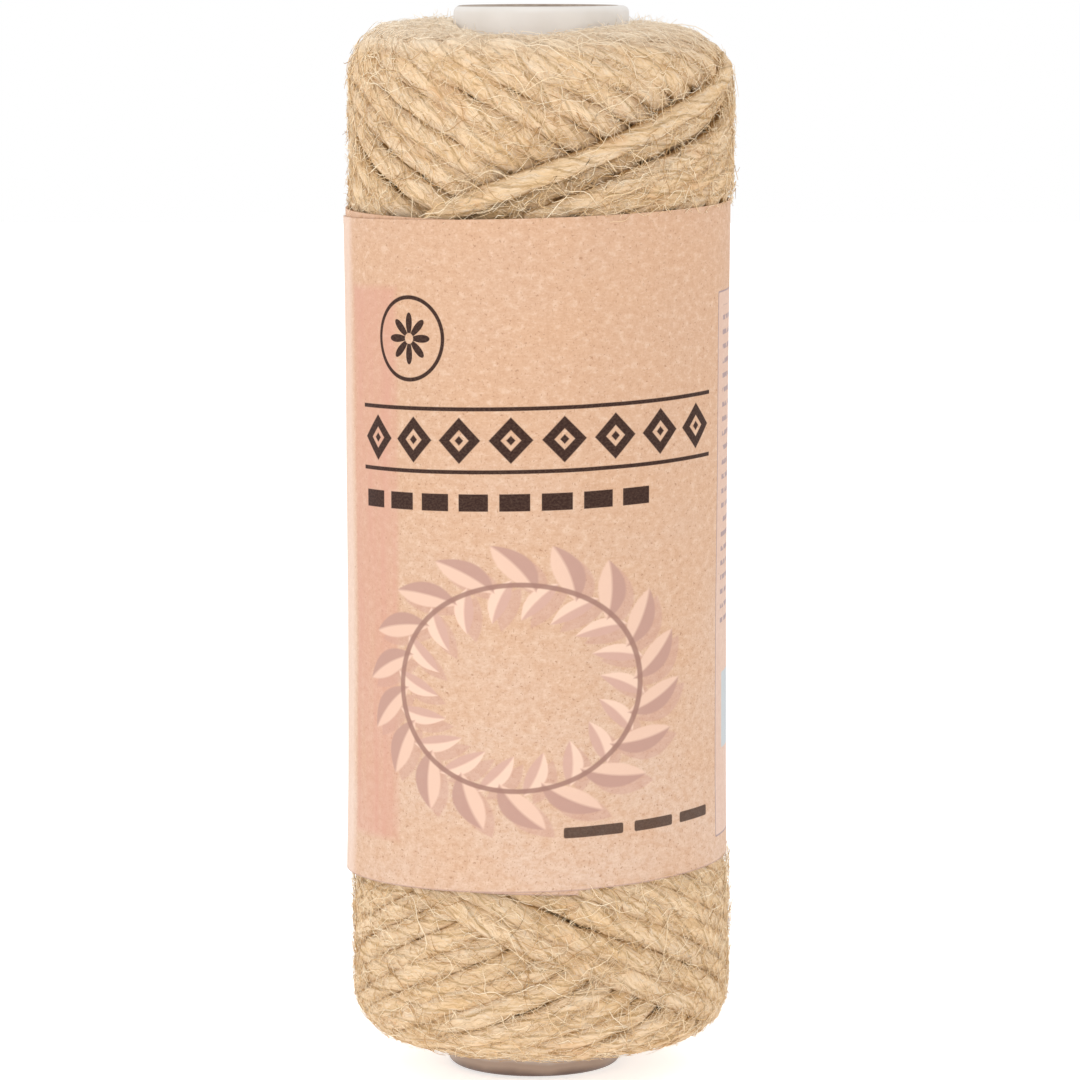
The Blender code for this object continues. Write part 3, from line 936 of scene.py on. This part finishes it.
def wreath(u0, v0):
    """An oval ring of leaves on both sides of a stem, about a point of the print.

    Returns the outer and inner leaves' masks, how far across its leaf each place lies in
    both, and the distance from the middle.
    """
    reach, turned = polar(u0, v0, 0.80)
    outer, outer_q = leaves(reach, turned, 2.4, 0.98, 0.0, 4.0, 1.55)
    inner, inner_q = leaves(reach, turned, -2.1, -0.98, 0.5, 3.4, 1.30)
    return outer, inner, outer_q, inner_q, reach


# the unprinted paper, darker where it is pasted, with a paler strip of painted sheen on its left
grain = kraft.flat_noise(print_uv, 2.6, 3.4, 4.0, 0.60)
fibre = kraft.flat_noise(print_uv, 0.9, 5.0, 3.0, 0.55, 0.35)
cloud = kraft.flat_noise(print_uv, 0.07, 0.10, 4.0, 0.55)
specks = kraft.flat_noise(print_uv, 1.7, 2.1, 2.0, 0.5, 0.5, (9.0, 4.0))
blotch = kraft.flat_noise(print_uv, 0.75, 0.95, 3.0, 0.60, 0.2, (3.0, 8.0))
flecks = kraft.flat_noise(print_uv, 5.5, 1.5, 2.0, 0.5, 0.5, (2.0, 6.0))
paper = kraft.mix(kraft.ramp(v_mm, 70.0, 5.0), (0.570, 0.364, 0.245), (0.615, 0.440, 0.335))
paper = kraft.tinted(paper, (cloud, 0.35, 0.68, 0.70, (0.575, 0.352, 0.222)),
                     (blotch, 0.48, 0.64, 0.50, (0.510, 0.300, 0.185)),
                     (blotch, 0.46, 0.32, 0.45, (0.700, 0.515, 0.385)),
                     (grain, 0.52, 0.72, 0.45, (0.450, 0.255, 0.155)),
                     (grain, 0.46, 0.28, 0.35, (0.740, 0.550, 0.420)),
                     (fibre, 0.60, 0.70, 0.30, (0.760, 0.570, 0.430)),
                     (specks, 0.650, 0.70, 0.55, (0.300, 0.145, 0.075)),
                     (flecks, 0.645, 0.69, 0.55, (0.330, 0.160, 0.085)))
paste_streak = kraft.flat_noise(print_uv, 0.55, 0.035, 3.0, 0.6, 0.0, (1.0, 2.0))
pasted = kraft.times(printed(bar(-33.3, -21.8, 6.5, 84.0), 0.6),
                     kraft.ramp(paste_streak, 0.30, 0.70, 0.35, 0.75))
paper = kraft.mix(pasted, paper, (0.560, 0.285, 0.215))
# painted sheen: a paler strip where the paper turns away on the left
painted_sheen_strip = kraft.times(kraft.ramp(u_mm, -33.0, -35.5), kraft.ramp(u_mm, -46.0, -42.0))
paper = kraft.mix(kraft.times(painted_sheen_strip, 0.50), paper, (0.760, 0.610, 0.530))

# a plain rosette in a ring, a row of lozenges between rules, and rows of dashes
rosette_reach, rosette_turn = polar(-19.3, 77.0, 1.0)
petal = kraft.absolute(kraft.math("COSINE", kraft.times(rosette_turn, 4.0)))
petals = printed(kraft.minus(rosette_reach, kraft.math("MULTIPLY_ADD", petal, 3.0, 0.6)))
ring_mark = printed(kraft.minus(distance_from(rosette_reach, 5.7), 0.28))
hub = printed(kraft.minus(rosette_reach, 0.75))
rosette = kraft.times(together(petals, ring_mark), kraft.minus(1.0, hub))
lozenge = kraft.plus(kraft.math("DIVIDE", from_cell(u_mm, -29.7, 7.425), 3.25),
                     kraft.math("DIVIDE", distance_from(v_mm, LOZENGES_AT), 3.35))
lozenge_ring = printed(kraft.minus(distance_from(lozenge, 0.70), 0.26), 0.03)
lozenge_core = printed(kraft.minus(lozenge, 0.20), 0.03)
rules = printed(kraft.minus(distance_from(distance_from(v_mm, LOZENGES_AT), 4.35), 0.28))
lozenges = within(together(lozenge_ring, lozenge_core, rules), bar(-29.7, 29.7, 58.0, 68.0))
dash = printed(kraft.minus(from_cell(u_mm, -29.7, 5.89), 2.15))
dashes = within(dash, bar(-29.7, 17.4, 53.2, 55.6))
small_bars = together(*[printed(bar(u0, u1, 7.4, 8.9))
                        for u0, u1 in ((3.6, 12.4), (14.2, 21.0), (22.6, 29.4))])
dark = together(rosette, lozenges, dashes, kraft.times(small_bars, 0.9))
worn = kraft.ramp(grain, 0.68, 0.42, 0.93, 1.0)

# a wreath of leaves in faded rose brown, with a soft shadow on the paper
shade_outer, shade_inner = wreath(-1.5, 27.5)[:2]
outer_leaf, inner_leaf, outer_q, inner_q, wreath_reach = wreath(-2.8, 28.6)
stem = printed(kraft.minus(distance_from(wreath_reach, WREATH_RADIUS), 0.34), 0.1)
outer_tone = kraft.mix(kraft.ramp(outer_q, -0.15, 0.15), (0.700, 0.475, 0.365), (0.440, 0.262, 0.212))
inner_tone = kraft.mix(kraft.ramp(inner_q, -0.15, 0.15), (0.540, 0.335, 0.272), (0.740, 0.520, 0.405))

# a thin frame on the side, with short broken dashes and a pale block
panel = bar(32.9, 72.0, 3.6, 81.0)
panel_line = printed(kraft.minus(kraft.absolute(panel), 0.12))
side_row = printed(kraft.minus(from_cell(v_mm, 27.0, 2.05), 0.34))
side_breaks = kraft.minus(0.44, kraft.flat_noise(print_uv, 0.62, 0.49, 1.0, 0.5, 0.0, (0.5, 0.3)))
side_dashes = within(side_row, bar(35.0, 68.0, 33.0, 79.0), side_breaks)

for mask, strength, colour in (
        (together(shade_outer, shade_inner), 0.55, (0.500, 0.290, 0.232)),
        (inner_leaf, 0.92, inner_tone),
        (outer_leaf, 0.92, outer_tone),
        (stem, 0.90, (0.300, 0.165, 0.130)),
        (printed(panel), 0.50, (0.640, 0.475, 0.415)),
        (printed(bar(36.0, 62.0, 15.8, 26.7)), 0.85, (0.440, 0.500, 0.530)),
        (together(panel_line, side_dashes), 0.75, (0.250, 0.190, 0.215)),
        (dark, worn, INK)):
    paper = kraft.mix(kraft.times(mask, strength), paper, colour)
# painted shade along the paper's lower cut edge
paper = kraft.tinted(paper, (v_mm, 0.22, 0.10, 0.55, (0.360, 0.225, 0.205)))
kraft.finish({"Base Color": paper, "Roughness": 0.60, "Specular IOR Level": 0.12, "Sheen Weight": 0.14,
              "Sheen Roughness": 0.08, "Normal": kraft.bump(grain, 0.00003, 0.08)})

label = new_piece("paper_label", label_points, [label_faces], kraft.material,
                  [("print", label_uv[label_faces.ravel()])])
label.data.set_sharp_from_angle(angle=SHARP_FROM)
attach(label, "root")
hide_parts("label")
